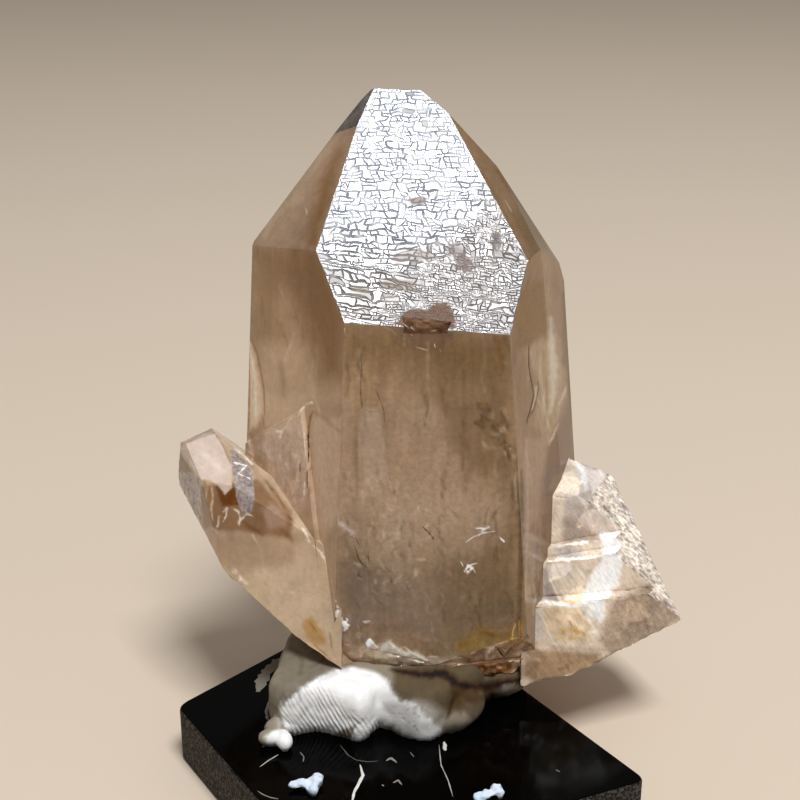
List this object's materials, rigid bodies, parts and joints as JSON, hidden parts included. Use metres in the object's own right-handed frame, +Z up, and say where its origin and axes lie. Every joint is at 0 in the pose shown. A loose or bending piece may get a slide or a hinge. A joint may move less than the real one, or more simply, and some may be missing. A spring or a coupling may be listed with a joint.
{
  "type": "smoky quartz crystal specimen",
  "caption": "Smoky quartz point with a small broken crystal and a stepped white mass grown on its sides, set in a putty mound on a black polished slab.",
  "frame": {"origin": "middle of the slab's underside, where the specimen rests", "axes": "+Z up along the crystal, -Y towards the viewer, where the large rhomb face of the point looks"},
  "size_m": [0.0633, 0.0593, 0.0787],
  "materials": {
    "quartz": "natural crystal faces, one etched into small plates",
    "putty": "matt, pressed by fingers",
    "putty_crumb": "matt",
    "slab": "polished top, sawn frosted sides"
  },
  "bodies": {
    "root": {"slab": "slab", "quartz": "quartz", "putty_mound": "putty", "putty_crumb_left": "putty_crumb", "putty_crumb_right": "putty_crumb"}
  },
  "joints": []
}
